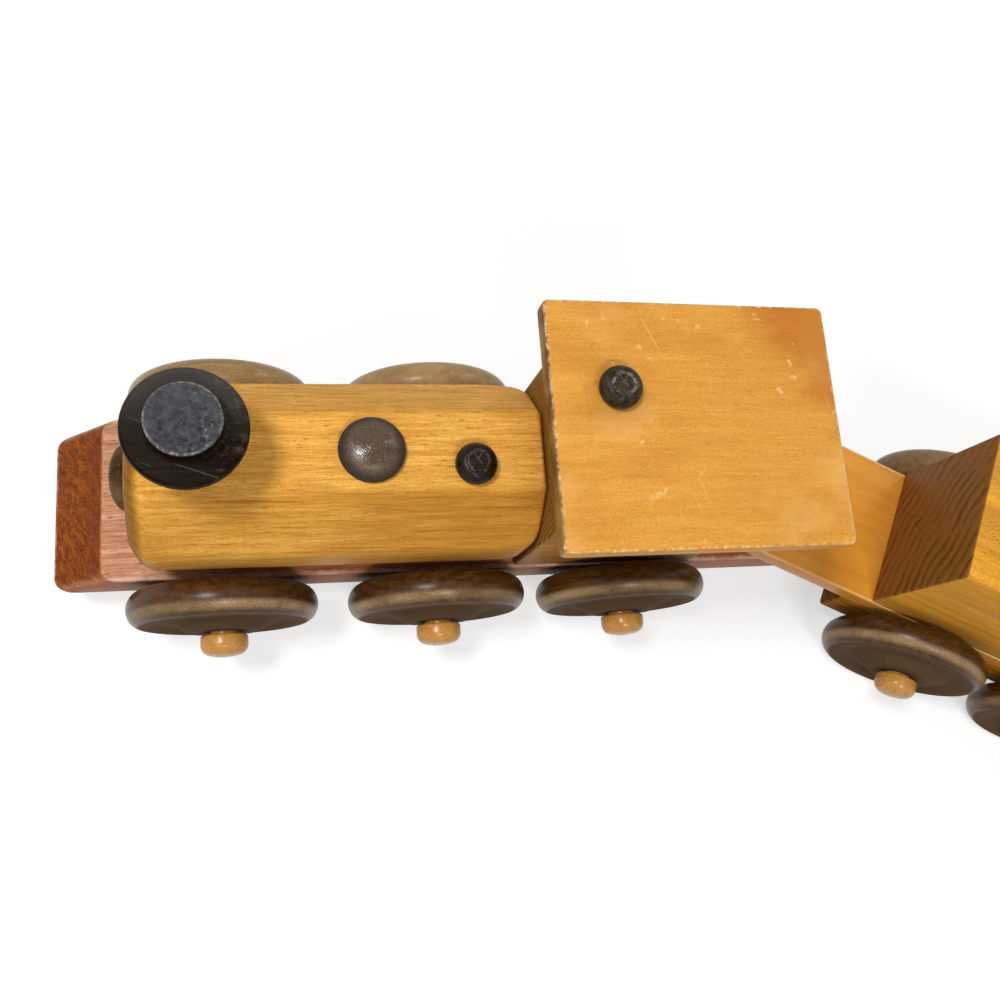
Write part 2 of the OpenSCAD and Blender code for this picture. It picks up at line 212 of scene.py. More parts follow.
def startMaterial(name):
    # an empty material, and the function that adds nodes to it
    material = bpy.data.materials.new(name)
    material.use_nodes = True
    material.node_tree.nodes.clear()
    return material, functools.partial(addNode, material.node_tree)


def mask(add, *parts):
    # the product of its parts: numbers, sockets, or (value, low, high), which goes smoothly from 0
    # to 1, or from a fourth to a fifth number, while the value goes from low to high
    whole = None
    for part in parts:
        if isinstance(part, tuple):
            value, low, high, outLow, outHigh = (*part, 0.0, 1.0)[:5]
            if low > high:
                low, high, outLow, outHigh = high, low, outHigh, outLow
            part = add("ShaderNodeMapRange", {"Value": value, "From Min": low, "From Max": high,
                       "To Min": outLow, "To Max": outHigh}, interpolation_type="SMOOTHSTEP")
        whole = part if whole is None else add("ShaderNodeMath", {0: whole, 1: part}, operation="MULTIPLY")
    return whole


def patches(add, where, look, stretch=None):
    # ragged patches: look has their size in mm, the detail and roughness of the noise, and then
    # the levels that mask takes; without levels the noise itself comes back
    sizeMm, detail, roughness, *levels = look
    if stretch:
        where = add("ShaderNodeVectorMath", {0: where, 1: stretch}, operation="MULTIPLY")
    spots = add("ShaderNodeTexNoise", {"Vector": where, "Scale": 1 / sizeMm, "Detail": detail,
                "Roughness": roughness})
    return mask(add, (spots, *levels)) if levels else spots


def paint(add, under, over, *parts):
    # lays one colour over another where the product of the parts says so
    under, over = (hexColour(c) if isinstance(c, str) else c for c in (under, over))
    return add("ShaderNodeMix", {0: mask(add, *parts), 6: under, 7: over}, data_type="RGBA")


def sawnSpace(add, place, shift):
    # millimetres with X along the grain of a piece that stands at place, and how far the surface
    # there faces along the grain
    endLevels = (0.4, 0.78)
    coords = add("ShaderNodeTexCoord")
    back = place.inverted()
    turn = back.to_euler("XYZ")
    move = back.translation / mm + Vector(shift)
    grain = add("ShaderNodeMapping", {"Vector": coords.outputs["Object"], "Location": move,
                "Rotation": turn, "Scale": (1 / mm,) * 3}, vector_type="POINT")
    facing = add("ShaderNodeMapping", {"Vector": coords.outputs["Normal"], "Rotation": turn},
                 vector_type="NORMAL")
    split = add("ShaderNodeSeparateXYZ", {"Vector": facing})
    endwards = add("ShaderNodeMath", {0: split.outputs["X"]}, operation="ABSOLUTE")
    return grain, mask(add, (endwards, *endLevels))


def centredSpace(add, box, place=Matrix.Identity(4)):
    # millimetres from the middle of a box that stands at place
    back = place.inverted()
    move = (back.translation - (Vector(box[0]) + Vector(box[1])) / 2) / mm
    return add("ShaderNodeMapping", {"Vector": add("ShaderNodeTexCoord").outputs["Object"],
               "Location": move, "Rotation": back.to_euler("XYZ"), "Scale": (1 / mm,) * 3},
               vector_type="POINT")


# What all the woods share: how far each layer is drawn out along the grain, the detail and
# roughness of its noise, and the levels between which it shows. At scale 1 the rings lie 0.314 apart
grainLayers = {
    "sway": {"stretch": (0.15, 1, 1), "noise": (2.0, 0.5)},
    "ring": {"perMm": 0.314, "detail": 3.0, "detailScale": 0.8, "levels": (0.35, 1.0)},
    "streak": {"stretch": (0.05, 1, 1), "noise": (3.0, 0.6), "levels": (0.32, 0.68)},
    "fibre": {"stretch": (0.06, 1, 1), "noise": (3.0, 0.7), "levels": (0.3, 0.7), "ridge": 0.6},
    "fleck": {"noise": (2.0, 0.5), "soft": 0.07, "pit": 0.5},
    "cloud": {"stretch": (0.4, 1, 1), "noise": (4.0, 0.6), "levels": (0.42, 0.66),
              "endLevels": (0.4, 0.6)},
    "speckle": {"noise": (2.0, 0.8), "levels": (0.3, 0.7)},
}


def woodGrain(add, look, grain, endOn):
    # solid timber: rings about a pith line, streaks, fibres and short dark flecks, all along X
    layers = grainLayers

    def drawn(name, where, stretch=None):
        # one layer, drawn out along the grain
        layer = layers[name]
        return patches(add, where, (look[name + "Mm"], *layer["noise"]), stretch or layer.get("stretch"))

    sway = drawn("sway", grain).outputs["Color"]
    swayed = add("ShaderNodeVectorMath", {0: sway, 1: (look["swayBy"],) * 3, 2: grain},
                 operation="MULTIPLY_ADD")
    ring = layers["ring"]
    rings = add("ShaderNodeTexWave", {"Vector": swayed, "Scale": ring["perMm"] / look["ringMm"],
                "Distortion": look["ringWobble"], "Detail": ring["detail"],
                "Detail Scale": ring["detailScale"]},
                wave_type="RINGS", rings_direction="X", wave_profile="SAW")
    late = mask(add, (rings.outputs["Fac"], *ring["levels"]))
    streak, fibre = drawn("streak", swayed), drawn("fibre", swayed)
    cloud, speckle = drawn("cloud", grain), drawn("speckle", grain)
    fleck = drawn("fleck", swayed, (look["fleckStretch"], 1, 1))
    fleck = mask(add, (fleck, look["fleckFrom"], look["fleckFrom"] + layers["fleck"]["soft"]))

    colour = paint(add, look["dark"], look["pale"], (streak, *layers["streak"]["levels"]))
    colour = paint(add, colour, look["ring"], late, look["ringDepth"])
    colour = paint(add, colour, look["cloud"], (cloud, *layers["cloud"]["levels"], 0.0, look["cloudDepth"]))
    endRings = (cloud, *layers["cloud"]["endLevels"], 1.0, 1 - look["endFade"])
    endColour = paint(add, look["end"], look["endRing"], late, endRings)
    colour = paint(add, colour, endColour, endOn, look["endDepth"])
    tones = [(layer, *layers[name]["levels"], 1 - look[name + "Depth"], 1 + look[name + "Depth"])
             for name, layer in (("fibre", fibre), ("speckle", speckle))]
    colour = add("ShaderNodeVectorMath", {0: colour, "Scale": mask(add, *tones)}, operation="SCALE")
    colour = paint(add, colour, look["fleck"], fleck, look["fleckDepth"])
    height = add("ShaderNodeMath", {0: mask(add, fibre, layers["fibre"]["ridge"]),
                 1: mask(add, fleck, layers["fleck"]["pit"])}, operation="SUBTRACT")
    return {"colour": colour, "height": height, "grain": grain, "cloud": cloud}


def finishCoat(add, look, wood, colour, height=None, roughness=None):
    # the clear varnish over the wood
    bump = add("ShaderNodeBump", {"Height": height or wood["height"], "Strength": look["reliefStrength"],
               "Distance": look["reliefMm"] * mm})
    shader = add("ShaderNodeBsdfPrincipled", {"Base Color": colour,
                 "Roughness": roughness or look["roughness"], "IOR": look["ior"],
                 "Specular IOR Level": look["specular"], "Coat Weight": look["coat"],
                 "Coat Roughness": look["coatRoughness"], "Normal": bump})
    add("ShaderNodeOutputMaterial", {"Surface": shader})


def scratches(add, grain, turnDeg, stretch, sizeMm, start):
    # long thin lines in one direction
    detail, roughness, soft, downStretch = 1.0, 0.5, 0.03, 0.3
    turned = add("ShaderNodeMapping", {"Vector": grain, "Rotation": (0, 0, math.radians(turnDeg))},
                 vector_type="POINT")
    return patches(add, turned, (sizeMm, detail, roughness, start, start + soft), (stretch, 1, downStretch))


def lineMark(add, where, start, end, widthMm):
    # one straight scratch between two points of a face that looks up, fading at both ends
    core, steady = 0.3, 0.7
    run, middle = Vector(end) - Vector(start), (Vector(start) + Vector(end)) / 2
    local = add("ShaderNodeMapping", {"Vector": where, "Location": (*middle, 0),
                "Rotation": (0, 0, math.atan2(run.y, run.x))}, vector_type="TEXTURE")
    split = add("ShaderNodeSeparateXYZ", {"Vector": local})
    along, across = (add("ShaderNodeMath", {0: split.outputs[axis]}, operation="ABSOLUTE") for axis in "XY")
    half = run.length / 2
    return mask(add, (across, widthMm, widthMm * core), (along, half, half * steady))


def edgeDistance(add, split, box):
    # millimetres from a point on a block's surface to its nearest edge: the middle one of the
    # three distances to the block's faces
    half = (Vector(box[1]) - Vector(box[0])) / 2 / mm
    away = []
    for i in range(3):
        off = add("ShaderNodeMath", {0: split.outputs[i]}, operation="ABSOLUTE")
        away.append(add("ShaderNodeMath", {0: half[i], 1: off}, operation="SUBTRACT"))
    lesser = add("ShaderNodeMath", {0: away[0], 1: away[1]}, operation="MINIMUM")
    greater = add("ShaderNodeMath", {0: away[0], 1: away[1]}, operation="MAXIMUM")
    inner = add("ShaderNodeMath", {0: greater, 1: away[2]}, operation="MINIMUM")
    return add("ShaderNodeMath", {0: lesser, 1: inner}, operation="MAXIMUM")


def paleRaggedEdges(add, paleEdge, colour, grain, edge):
    # ragged pale wood along the edges, in patches: bare wood where worn, and on the chassis and the deck
    # partly a painted highlight along the arris
    rag, patch = (1.6, 5.0, 0.75), (paleEdge["patchMm"], 2.0, 0.5, 0.38, 0.62, paleEdge["least"], 1.0)
    unworn, bare = paleEdge["widthMm"] * 1.6, paleEdge["widthMm"] * 0.5
    wander = add("ShaderNodeMath", {0: patches(add, grain, rag), 1: 0.5}, operation="SUBTRACT")
    ragged = add("ShaderNodeMath", {0: wander, 1: paleEdge["wanderMm"] * 2, 2: edge}, operation="MULTIPLY_ADD")
    return paint(add, colour, paleEdge["colour"], (ragged, unworn, bare), patches(add, grain, patch),
                 paleEdge["depth"])


# Sawn, varnished softwood, which every other wood here starts from; lengths are in millimetres
plainTimber = {
    "shift": (0, 62, 24), "swayMm": 45, "swayBy": 5.0, "ringMm": 3.4, "ringWobble": 3.0,
    "streakMm": 1.7, "fibreMm": 0.5, "fibreDepth": 0.16, "fleckStretch": 0.15, "fleckMm": 0.5,
    "fleckFrom": 0.67, "cloudMm": 18, "speckleMm": 0.4, "speckleDepth": 0.14,
    "pale": "#DDA14B", "dark": "#B97F34", "ring": "#9C6A2C", "ringDepth": 0.3,
    "cloud": "#C08A3E", "cloudDepth": 0.5, "fleck": "#5E3E1A", "fleckDepth": 0.55,
    "end": "#8A5A26", "endRing": "#54320F", "endDepth": 0.9, "endFade": 0.0,
    "ior": 1.5, "roughness": 0.4, "specular": 0.08, "coat": 0.0, "coatRoughness": 0.25,
    "reliefStrength": 0.25, "reliefMm": 0.1,
}


def sawnTimber(name, look, place=Matrix.Identity(4)):
    # timber for a piece sawn along the grain, which stands at place
    material, add = startMaterial(name)
    return material, add, woodGrain(add, look, *sawnSpace(add, place, look["shift"]))


def makeTimber(name, look, place=Matrix.Identity(4)):
    material, add, wood = sawnTimber(name, look, place)
    finishCoat(add, look, wood, wood["colour"])
    return material


# Varnished pine: honey yellow, fine even fibres and short dark flecks, satin
boilerPine = {**plainTimber, "pale": "#F6BA58", "dark": "#DA9840", "ring": "#C08434", "cloud": "#D0923A",
              "streakMm": 1.3, "fleck": "#6E4618", "fleckFrom": 0.63, "fleckStretch": 0.12, "fleckMm": 0.42,
              "fibreMm": 0.4, "end": "#8E5C1A", "endRing": "#7C4C14", "specular": 0.03}


def makeBoilerPine():
    # the near chamfer is painted browner, most towards the cab: partly the wood's own tone and partly painted
    # shade; dark grain lines run along it
    nearShadeAndLines = {"facing": (-0.25, -0.6), "alongMm": (-20, 26), "least": 0.4, "colour": "#A86A14", "depth": 0.55,
            "lines": (2, 0.03, 0.8, 0.66), "line": "#8A5416", "lineDepth": 0.4}
    material, add, wood = sawnTimber("boilerVarnishedPine", boilerPine)
    facing = add("ShaderNodeSeparateXYZ", {"Vector": add("ShaderNodeTexCoord").outputs["Normal"]})
    near = mask(add, (facing.outputs["Y"], *nearShadeAndLines["facing"]))
    centred = add("ShaderNodeSeparateXYZ", {"Vector": centredSpace(add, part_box("boiler"))})
    rearwards = (centred.outputs["X"], *nearShadeAndLines["alongMm"], nearShadeAndLines["least"], 1.0)
    # painted shade over the wood's own browner tone: the near-facing chamfer darker towards the cab
    colour = paint(add, wood["colour"], nearShadeAndLines["colour"], near, rearwards, nearShadeAndLines["depth"])
    lines = scratches(add, wood["grain"], *nearShadeAndLines["lines"])
    colour = paint(add, colour, nearShadeAndLines["line"], lines, near, nearShadeAndLines["lineDepth"])
    finishCoat(add, boilerPine, wood, colour)
    return material


# Varnished pine for the cab, its end grain darker where it drank the varnish
cabPine = {**plainTimber, "shift": (0, 160, -120), "ringMm": 1.5, "pale": "#BE8434", "dark": "#94601E",
           "end": "#9A6A30", "endRing": "#5C3C16", "specular": 0.03}

# Varnished pine board with its edges and corners worn through to bare pale wood
roofPine = {**plainTimber, "shift": (0, 20, 70), "pale": "#DF9F46", "dark": "#D8973F", "ringDepth": 0.08,
            "ring": "#B97C30", "cloud": "#CC8838", "cloudMm": 12, "cloudDepth": 0.6, "fleckFrom": 0.66,
            "fleckStretch": 0.25, "fleckMm": 0.36, "fleckDepth": 0.5, "fibreDepth": 0.065,
            "speckleDepth": 0.13, "end": "#70502A", "endRing": "#543A1A", "specular": 0.04}


def makeRoofPine():
    paleEdge = {"widthMm": 0.5, "wanderMm": 2.0, "patchMm": 11, "least": 0.3, "colour": "#F6DCA8",
            "depth": 0.9, "rearMm": (36, 40), "rearExtraMm": 0.5}
    scuff = {"spots": (4.2, 3.0, 0.55, 0.64, 0.69, 0.0, 0.6), "where": (17, 1.0, 0.5, 0.5, 0.6),
             "lines": (74, 0.06, 1.1, 0.735), "lineDepth": 0.2, "colour": "#F0C888",
             "long": ((-14.7, 30.5), (-9.6, 19.4), 0.3), "longDepth": 0.32}
    bleached = {"spots": (24, 3.0, 0.5, 0.48, 0.66, 0.0, 0.55), "colour": "#E8B264"}
    swirl = {"sway": (13, 3.0, 0.5), "stretch": (0.6, 1, 1), "swayMm": 34, "slant": 0.8,
             "levelsMm": (32, 52), "colour": "#B86A22", "depth": 0.7}
    stainAndShade = {"levelsMm": (6, 14), "colour": "#A87228", "depth": 0.4}
    material, add, wood = sawnTimber("roofWornVarnishedPine", roofPine)
    grain, box = wood["grain"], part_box("cab_roof")
    centred = centredSpace(add, box)
    split = add("ShaderNodeSeparateXYZ", {"Vector": centred})
    colour = paint(add, wood["colour"], bleached["colour"], patches(add, grain, bleached["spots"]))
    # redder heartwood sweeps round the far rear corner
    sway = add("ShaderNodeMath", {0: patches(add, grain, swirl["sway"], swirl["stretch"]), 1: 0.5},
               operation="SUBTRACT")
    corner = add("ShaderNodeMath", {0: split.outputs["Y"], 1: swirl["slant"], 2: split.outputs["X"]},
                 operation="MULTIPLY_ADD")
    corner = add("ShaderNodeMath", {0: sway, 1: swirl["swayMm"], 2: corner}, operation="MULTIPLY_ADD")
    colour = paint(add, colour, swirl["colour"], (corner, *swirl["levelsMm"], 0.0, swirl["depth"]))
    # darker round the whistle: old glue stain and painted contact shade
    away = add("ShaderNodeVectorMath", {0: add("ShaderNodeTexCoord").outputs["Object"],
               1: topCentre("roof_whistle")}, operation="DISTANCE")
    awayMm = add("ShaderNodeMath", {0: away, 1: mm}, operation="DIVIDE")
    colour = paint(add, colour, stainAndShade["colour"], (awayMm, *stainAndShade["levelsMm"], stainAndShade["depth"], 0.0))
    # pale scuffs, a few long scratches and the bare edges
    scuffs = mask(add, patches(add, grain, scuff["spots"]), patches(add, grain, scuff["where"]))
    lines = mask(add, scratches(add, grain, *scuff["lines"]), scuff["lineDepth"])
    long = mask(add, lineMark(add, centred, *scuff["long"]), scuff["longDepth"])
    lines = add("ShaderNodeMath", {0: lines, 1: long}, operation="MAXIMUM")
    marks = add("ShaderNodeMath", {0: scuffs, 1: lines}, operation="MAXIMUM")
    colour = paint(add, colour, scuff["colour"], marks)
    # the rear edge has lost the most
    rearMost = mask(add, (split.outputs["X"], *paleEdge["rearMm"], 0.0, paleEdge["rearExtraMm"]))
    edge = add("ShaderNodeMath", {0: edgeDistance(add, split, box), 1: rearMost}, operation="SUBTRACT")
    finishCoat(add, roofPine, wood, paleRaggedEdges(add, paleEdge, colour, grain, edge))
    return material


# Oiled padauk: pinkish brown along the board, its sloped end orange brown with dark pores
chassisPadauk = {**plainTimber, "shift": (0, 40, 60), "pale": "#E8B08C", "dark": "#B67C5A",
                 "ring": "#8E5238", "ringDepth": 0.3, "cloud": "#C88E6A", "fleck": "#54301C",
                 "fleckFrom": 0.62, "fleckDepth": 0.65, "fibreDepth": 0.26, "end": "#A8560E",
                 "endRing": "#90480C", "endDepth": 1.0, "roughness": 0.4, "specular": 0.03}


def makePadauk():
    nose = {"slantDeg": 50, "mottle": (2.0, 4.0, 0.7, 0.4, 0.65, 0.0, 0.85), "mottleStretch": (1, 0.35, 1),
            "mottleColour": "#6C2E06", "darkMm": (8, 14, 0.0, 0.6), "darkColour": "#763A1A",
            "pore": (0.5, 2.0, 0.6, 0.57, 0.65, 0.0, 0.9), "poreStretch": (1, 0.4, 1),
            "poreColour": "#3A1604"}
    # the top is painted paler, a painted sheen; the flanks are painted darker red, the wood's own red
    # deepened as painted shade, and the strips of the top beside the boiler are painted dark red as painted
    # shade from the boiler
    sheenAndShade = {"colour": "#9A4E1E", "depth": 0.75, "flank": (0.6, 0.95), "stripMm": (20.5, 24.0),
            "besideMm": (42, 66)}
    paleEdge = {"widthMm": 1.0, "wanderMm": 1.4, "patchMm": 12, "least": 0.35, "colour": "#F4D4BE", "depth": 0.6}
    material, add = startMaterial("chassisOiledPadauk")
    grain, endOn = sawnSpace(add, Matrix.Identity(4), chassisPadauk["shift"])
    wood = woodGrain(add, chassisPadauk, grain, endOn)
    slant = add("ShaderNodeMapping", {"Vector": grain, "Rotation": (math.radians(nose["slantDeg"]), 0, 0)},
                vector_type="POINT")
    mottle = patches(add, slant, nose["mottle"], nose["mottleStretch"])
    pore = patches(add, slant, nose["pore"], nose["poreStretch"])
    fromNose = add("ShaderNodeMath", {0: add("ShaderNodeSeparateXYZ", {"Vector": grain}).outputs["X"],
                   1: noseX / mm}, operation="SUBTRACT")
    colour = paint(add, wood["colour"], nose["mottleColour"], mottle, endOn)
    colour = paint(add, colour, nose["darkColour"], (fromNose, *nose["darkMm"]), endOn)
    colour = paint(add, colour, nose["poreColour"], pore, endOn)
    facing = add("ShaderNodeSeparateXYZ", {"Vector": add("ShaderNodeTexCoord").outputs["Normal"]})
    box = ((noseX, chassisBox[0].y, chassisBox[0].z), chassisBox[1])
    split = add("ShaderNodeSeparateXYZ", {"Vector": centredSpace(add, box)})
    sideways, aside = (add("ShaderNodeMath", {0: node.outputs["Y"]}, operation="ABSOLUTE")
                       for node in (facing, split))
    # painted shade and sheen: the flanks and the strips beside the boiler darker red, which leaves the top
    # paler
    shadedStrip = mask(add, (aside, *sheenAndShade["stripMm"]), (fromNose, *sheenAndShade["besideMm"]))
    shadedRed = add("ShaderNodeMath", {0: mask(add, (sideways, *sheenAndShade["flank"])), 1: shadedStrip}, operation="MAXIMUM")
    colour = paint(add, colour, sheenAndShade["colour"], shadedRed, sheenAndShade["depth"])
    # pale edges: worn spots, and along the near top arris a painted highlight
    colour = paleRaggedEdges(add, paleEdge, colour, grain, edgeDistance(add, split, box))
    finishCoat(add, chassisPadauk, wood, colour)
    return material


# Varnished pine board of the tender: warm orange yellow and glossy
deckPine = {**plainTimber, "shift": (0, 15, 50), "pale": "#E69C38", "dark": "#DC9032", "ringDepth": 0.1,
            "streakMm": 3.5, "fibreDepth": 0.05, "speckleDepth": 0.05, "cloud": "#D28A34", "cloudMm": 11,
            "fleckFrom": 0.76, "roughness": 0.3, "coat": 0.2, "coatRoughness": 0.12,
            "end": "#9A6426", "endRing": "#7A4A18"}


def makeDeckPine():
    paleEdge = {"widthMm": 0.6, "wanderMm": 0.5, "patchMm": 20, "least": 0.5, "colour": "#FAD498", "depth": 0.75}
    material, add, wood = sawnTimber("deckVarnishedPine", deckPine, toTender)
    low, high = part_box("tender_deck")
    radius, length = deckLook["tongueRadius"], deckLook["length"]
    box = ((-radius, -radius, low.z), (length, radius, high.z))
    split = add("ShaderNodeSeparateXYZ", {"Vector": centredSpace(add, box, toTender)})
    edge = edgeDistance(add, split, box)
    # pale eased edges: worn, and partly a painted highlight along the arris
    finishCoat(add, deckPine, wood, paleRaggedEdges(add, paleEdge, wood["colour"], wood["grain"], edge))
    return material


# Dark-stained board under the tender
frameStained = {**plainTimber, "pale": "#B87618", "dark": "#8A540C", "ring": "#6A3E08",
                "cloud": "#8A540C", "end": "#8C5A12", "endRing": "#5E380A", "specular": 0.02}

# Varnished pine block of the tender, its end grain brown with bold slanting rings
tenderPine = {**plainTimber, "shift": (0, 100, -236), "ringMm": 4.2, "pale": "#E8A63A", "dark": "#D28C28",
              "ringDepth": 0.15, "fibreDepth": 0.07, "streakMm": 4.0, "end": "#87562A", "endRing": "#4E2C0E",
              "endFade": 0.8, "speckleDepth": 0.24, "ringWobble": 5.0, "specular": 0.04}


def turnedTimber(name, look):
    # timber for a turned piece, whose grain runs across the lathe's axis
    endLevels = (0.75, 1.0)
    material, add = startMaterial(name)
    spot = add("ShaderNodeAttribute", attribute_name="lathe").outputs["Vector"]
    split = add("ShaderNodeSeparateXYZ", {"Vector": spot})
    level = add("ShaderNodeVectorMath", {0: spot, 1: (1, 1, 0)}, operation="MULTIPLY")
    radius = add("ShaderNodeVectorMath", {0: level}, operation="LENGTH").outputs["Value"]
    side = add("ShaderNodeMath", {0: split.outputs["X"]}, operation="ABSOLUTE")
    across = add("ShaderNodeMath", {0: side, 1: radius}, operation="DIVIDE")
    grain = add("ShaderNodeVectorMath", {0: spot, 1: look["shift"]}, operation="ADD")
    wood = woodGrain(add, look, grain, mask(add, (across, *endLevels)))
    return material, add, {**wood, "spot": spot, "split": split, "radius": radius}


# Walnut-stained turned beech: dark brown, with golden specks on the tread in a pale band, worn and partly a
# painted highlight
wheelWalnut = {**plainTimber, "shift": (0, 10, 30), "pale": "#5E3C18", "dark": "#38200A",
               "ring": "#301C0A", "ringDepth": 0.4, "cloud": "#4A2E12", "fleck": "#1E1208",
               "end": "#4C3216", "endRing": "#322010", "endDepth": 0.5, "roughness": 0.3,
               "faceRoughness": 0.9, "specular": 0.22, "reliefStrength": 0.3,
               "face": "#54402A", "faceDepth": 0.8, "rubbed": "#BC9A6E", "rubDepth": 0.85,
               "rubFromMm": 0.6, "rubToMm": 5.0}

# The same stain on the right side's wheels, painted lighter with the whole tread pale: painted light where
# the lamps catch them
wheelPaintedLit = {**wheelWalnut, "shift": (40, 30, 70), "pale": "#9E7A48", "dark": "#7C5C36", "ring": "#6A4E2C",
              "ringDepth": 0.2, "cloud": "#93744A", "cloudDepth": 0.3, "end": "#96784C", "endRing": "#7A5C36",
              "rubbed": "#CCAC7A", "rubDepth": 0.6, "rubFromMm": -8, "rubToMm": 8}

# and on the tender's right side, painted less light, as painted shade for a wheel that lies in shade
wheelPaintedHalfLit = {**wheelPaintedLit, "pale": "#806440", "dark": "#5E4628", "rubbed": "#A08A60"}


def makeWheelWalnut(name, look):
    # the tread is painted pale in a band towards the wheel's outer face: a worn crown and partly a painted
    # highlight
    rub = {"treadMm": (23.6, 26.4), "fadeMm": 1.9, "specks": (0.3, 3.0, 0.7, 0.36, 0.64, 0.3, 1.0),
           "cloudLevels": (0.36, 0.6, 0.35, 1.0)}
    material, add, wood = turnedTimber(name, look)
    onTread = mask(add, (wood["radius"], *rub["treadMm"]))
    onFace = add("ShaderNodeMath", {0: 1.0, 1: onTread}, operation="SUBTRACT")
    colour = paint(add, wood["colour"], look["face"], onFace, look["faceDepth"])
    outwards, start, stop = wood["split"].outputs["Z"], look["rubFromMm"], look["rubToMm"]
    # painted highlight and wear: the pale band round the tread
    colour = paint(add, colour, look["rubbed"], patches(add, wood["grain"], rub["specks"]),
                   (wood["cloud"], *rub["cloudLevels"]), onTread, (outwards, start, start + rub["fadeMm"]),
                   (outwards, stop, stop - rub["fadeMm"]), look["rubDepth"])
    roughness = mask(add, (onTread, 0.0, 1.0, look["faceRoughness"], look["roughness"]))
    finishCoat(add, look, wood, colour, roughness=roughness)
    return material


# Varnished birch dowel: light honey, very fine fibres
pegBirch = {**plainTimber, "pale": "#D99C4E", "dark": "#BC8038", "ringDepth": 0.1, "fibreMm": 0.4,
            "fleckDepth": 0.2, "end": "#C68C40", "endRing": "#A8722F", "endDepth": 0.3,
            "roughness": 0.24, "specular": 0.34}


def makePegBirch():
    material, add, wood = turnedTimber("pegVarnishedBirch", pegBirch)
    finishCoat(add, pegBirch, wood, wood["colour"])
    return material


# Black-stained turned beech: nearly black, with fine scratches, its ring grey and dusty, its arris pale and
# partly a painted highlight, and its far side greyer, a painted reflection
stackBlack = {**plainTimber, "pale": "#26180E", "dark": "#120A05", "ring": "#100904", "cloud": "#1A0F08",
              "cloudDepth": 0.6, "fleck": "#0B0705", "end": "#1E130A", "endRing": "#120A05",
              "roughness": 0.42, "specular": 0.03, "coatRoughness": 0.25}


def makeStackBlack():
    paintedReflection = {"levelsMm": (-6, 16), "colour": "#4C4844", "depth": 0.8}
    scratch = {"lines": ((25, 0.03, 0.7, 0.75), (-60, 0.2, 0.4, 0.76)), "depth": 0.28,
               "long": ((-2.9, -9.5), (8.2, -13.3), 0.2), "longDepth": 0.26, "colour": "#7C7670"}
    dusty = {"spots": (2.0, 5.0, 0.7, 0.5, 0.68, 0.0, 0.3), "levelsMm": (-2, 12), "colour": "#6E6860"}
    top = {"levelsMm": (27.8, 28.6), "dust": (2.2, 6.0, 0.85, 0.32, 0.66), "dustDepth": 0.9,
           "dustColour": "#54575E", "scuffs": (1.5, 4.0, 0.75, 0.55, 0.7, 0.0, 0.6),
           "scuffMm": (-3, 5), "scuffColour": "#8C8A84"}
    arris = {"levelsMm": (8.5, 9.0), "chips": (1.2, 5.0, 0.75, 0.42, 0.62, 0.1, 1.0),
             "asideMm": (0, 9, 0.35, 1.0), "colour": "#96928A"}
    material, add, wood = turnedTimber("stackBlackStainedBeech", stackBlack)
    grain, right, up, height = (wood["grain"], *(wood["split"].outputs[axis] for axis in "XYZ"))
    # painted reflection: the far side greyer
    colour = paint(add, wood["colour"], paintedReflection["colour"], (up, *paintedReflection["levelsMm"]), paintedReflection["depth"])
    lines = [scratches(add, grain, *line) for line in scratch["lines"]]
    lines = add("ShaderNodeMath", {0: lines[0], 1: lines[1]}, operation="MAXIMUM")
    long = mask(add, lineMark(add, wood["spot"], *scratch["long"]), scratch["longDepth"])
    lines = add("ShaderNodeMath", {0: mask(add, lines, scratch["depth"]), 1: long}, operation="MAXIMUM")
    colour = paint(add, colour, scratch["colour"], lines)
    colour = paint(add, colour, dusty["colour"], patches(add, grain, dusty["spots"]),
                   (right, *dusty["levelsMm"]))
    onTop = mask(add, (height, *top["levelsMm"]))
    colour = paint(add, colour, top["dustColour"], onTop, patches(add, grain, top["dust"]), top["dustDepth"])
    # the top is scuffed on its right half
    colour = paint(add, colour, top["scuffColour"], patches(add, grain, top["scuffs"]),
                   (right, *top["scuffMm"]), onTop)
    # the arris is painted pale: worn, and brightest at the lower left and the far right as a painted
    # highlight
    aside = add("ShaderNodeMath", {0: up, 1: right}, operation="ADD")
    aside = add("ShaderNodeMath", {0: aside}, operation="ABSOLUTE")
    colour = paint(add, colour, arris["colour"], (wood["radius"], *arris["levelsMm"]), onTop,
                   patches(add, grain, arris["chips"]), (aside, *arris["asideMm"]))
    finishCoat(add, stackBlack, wood, colour)
    return material


# The same black stain on the small whistles, glossier, worn to brown round the rim
whistleBlack = {**stackBlack, "pale": "#261B12", "dark": "#140D08", "cloud": "#1A120B", "end": "#1E150E",
                "endRing": "#140D08", "roughness": 0.2, "specular": 0.1, "reliefStrength": 0.7,
                "reliefMm": 0.25, "flatMm": 3.0, "arris": "#7C766C", "arrisDepth": 0.4,
                "mark": "#6A665E", "markDepth": 0.35, "bared": "#463A2C", "baredDepth": 0.3}

# The roof's whistle has been handled more
roofWhistleBlack = {**whistleBlack, "shift": (30, 62, 24), "arris": "#A8A294", "arrisDepth": 0.55,
                    "markDepth": 0.4, "bared": "#5C4E3A", "baredDepth": 0.6}


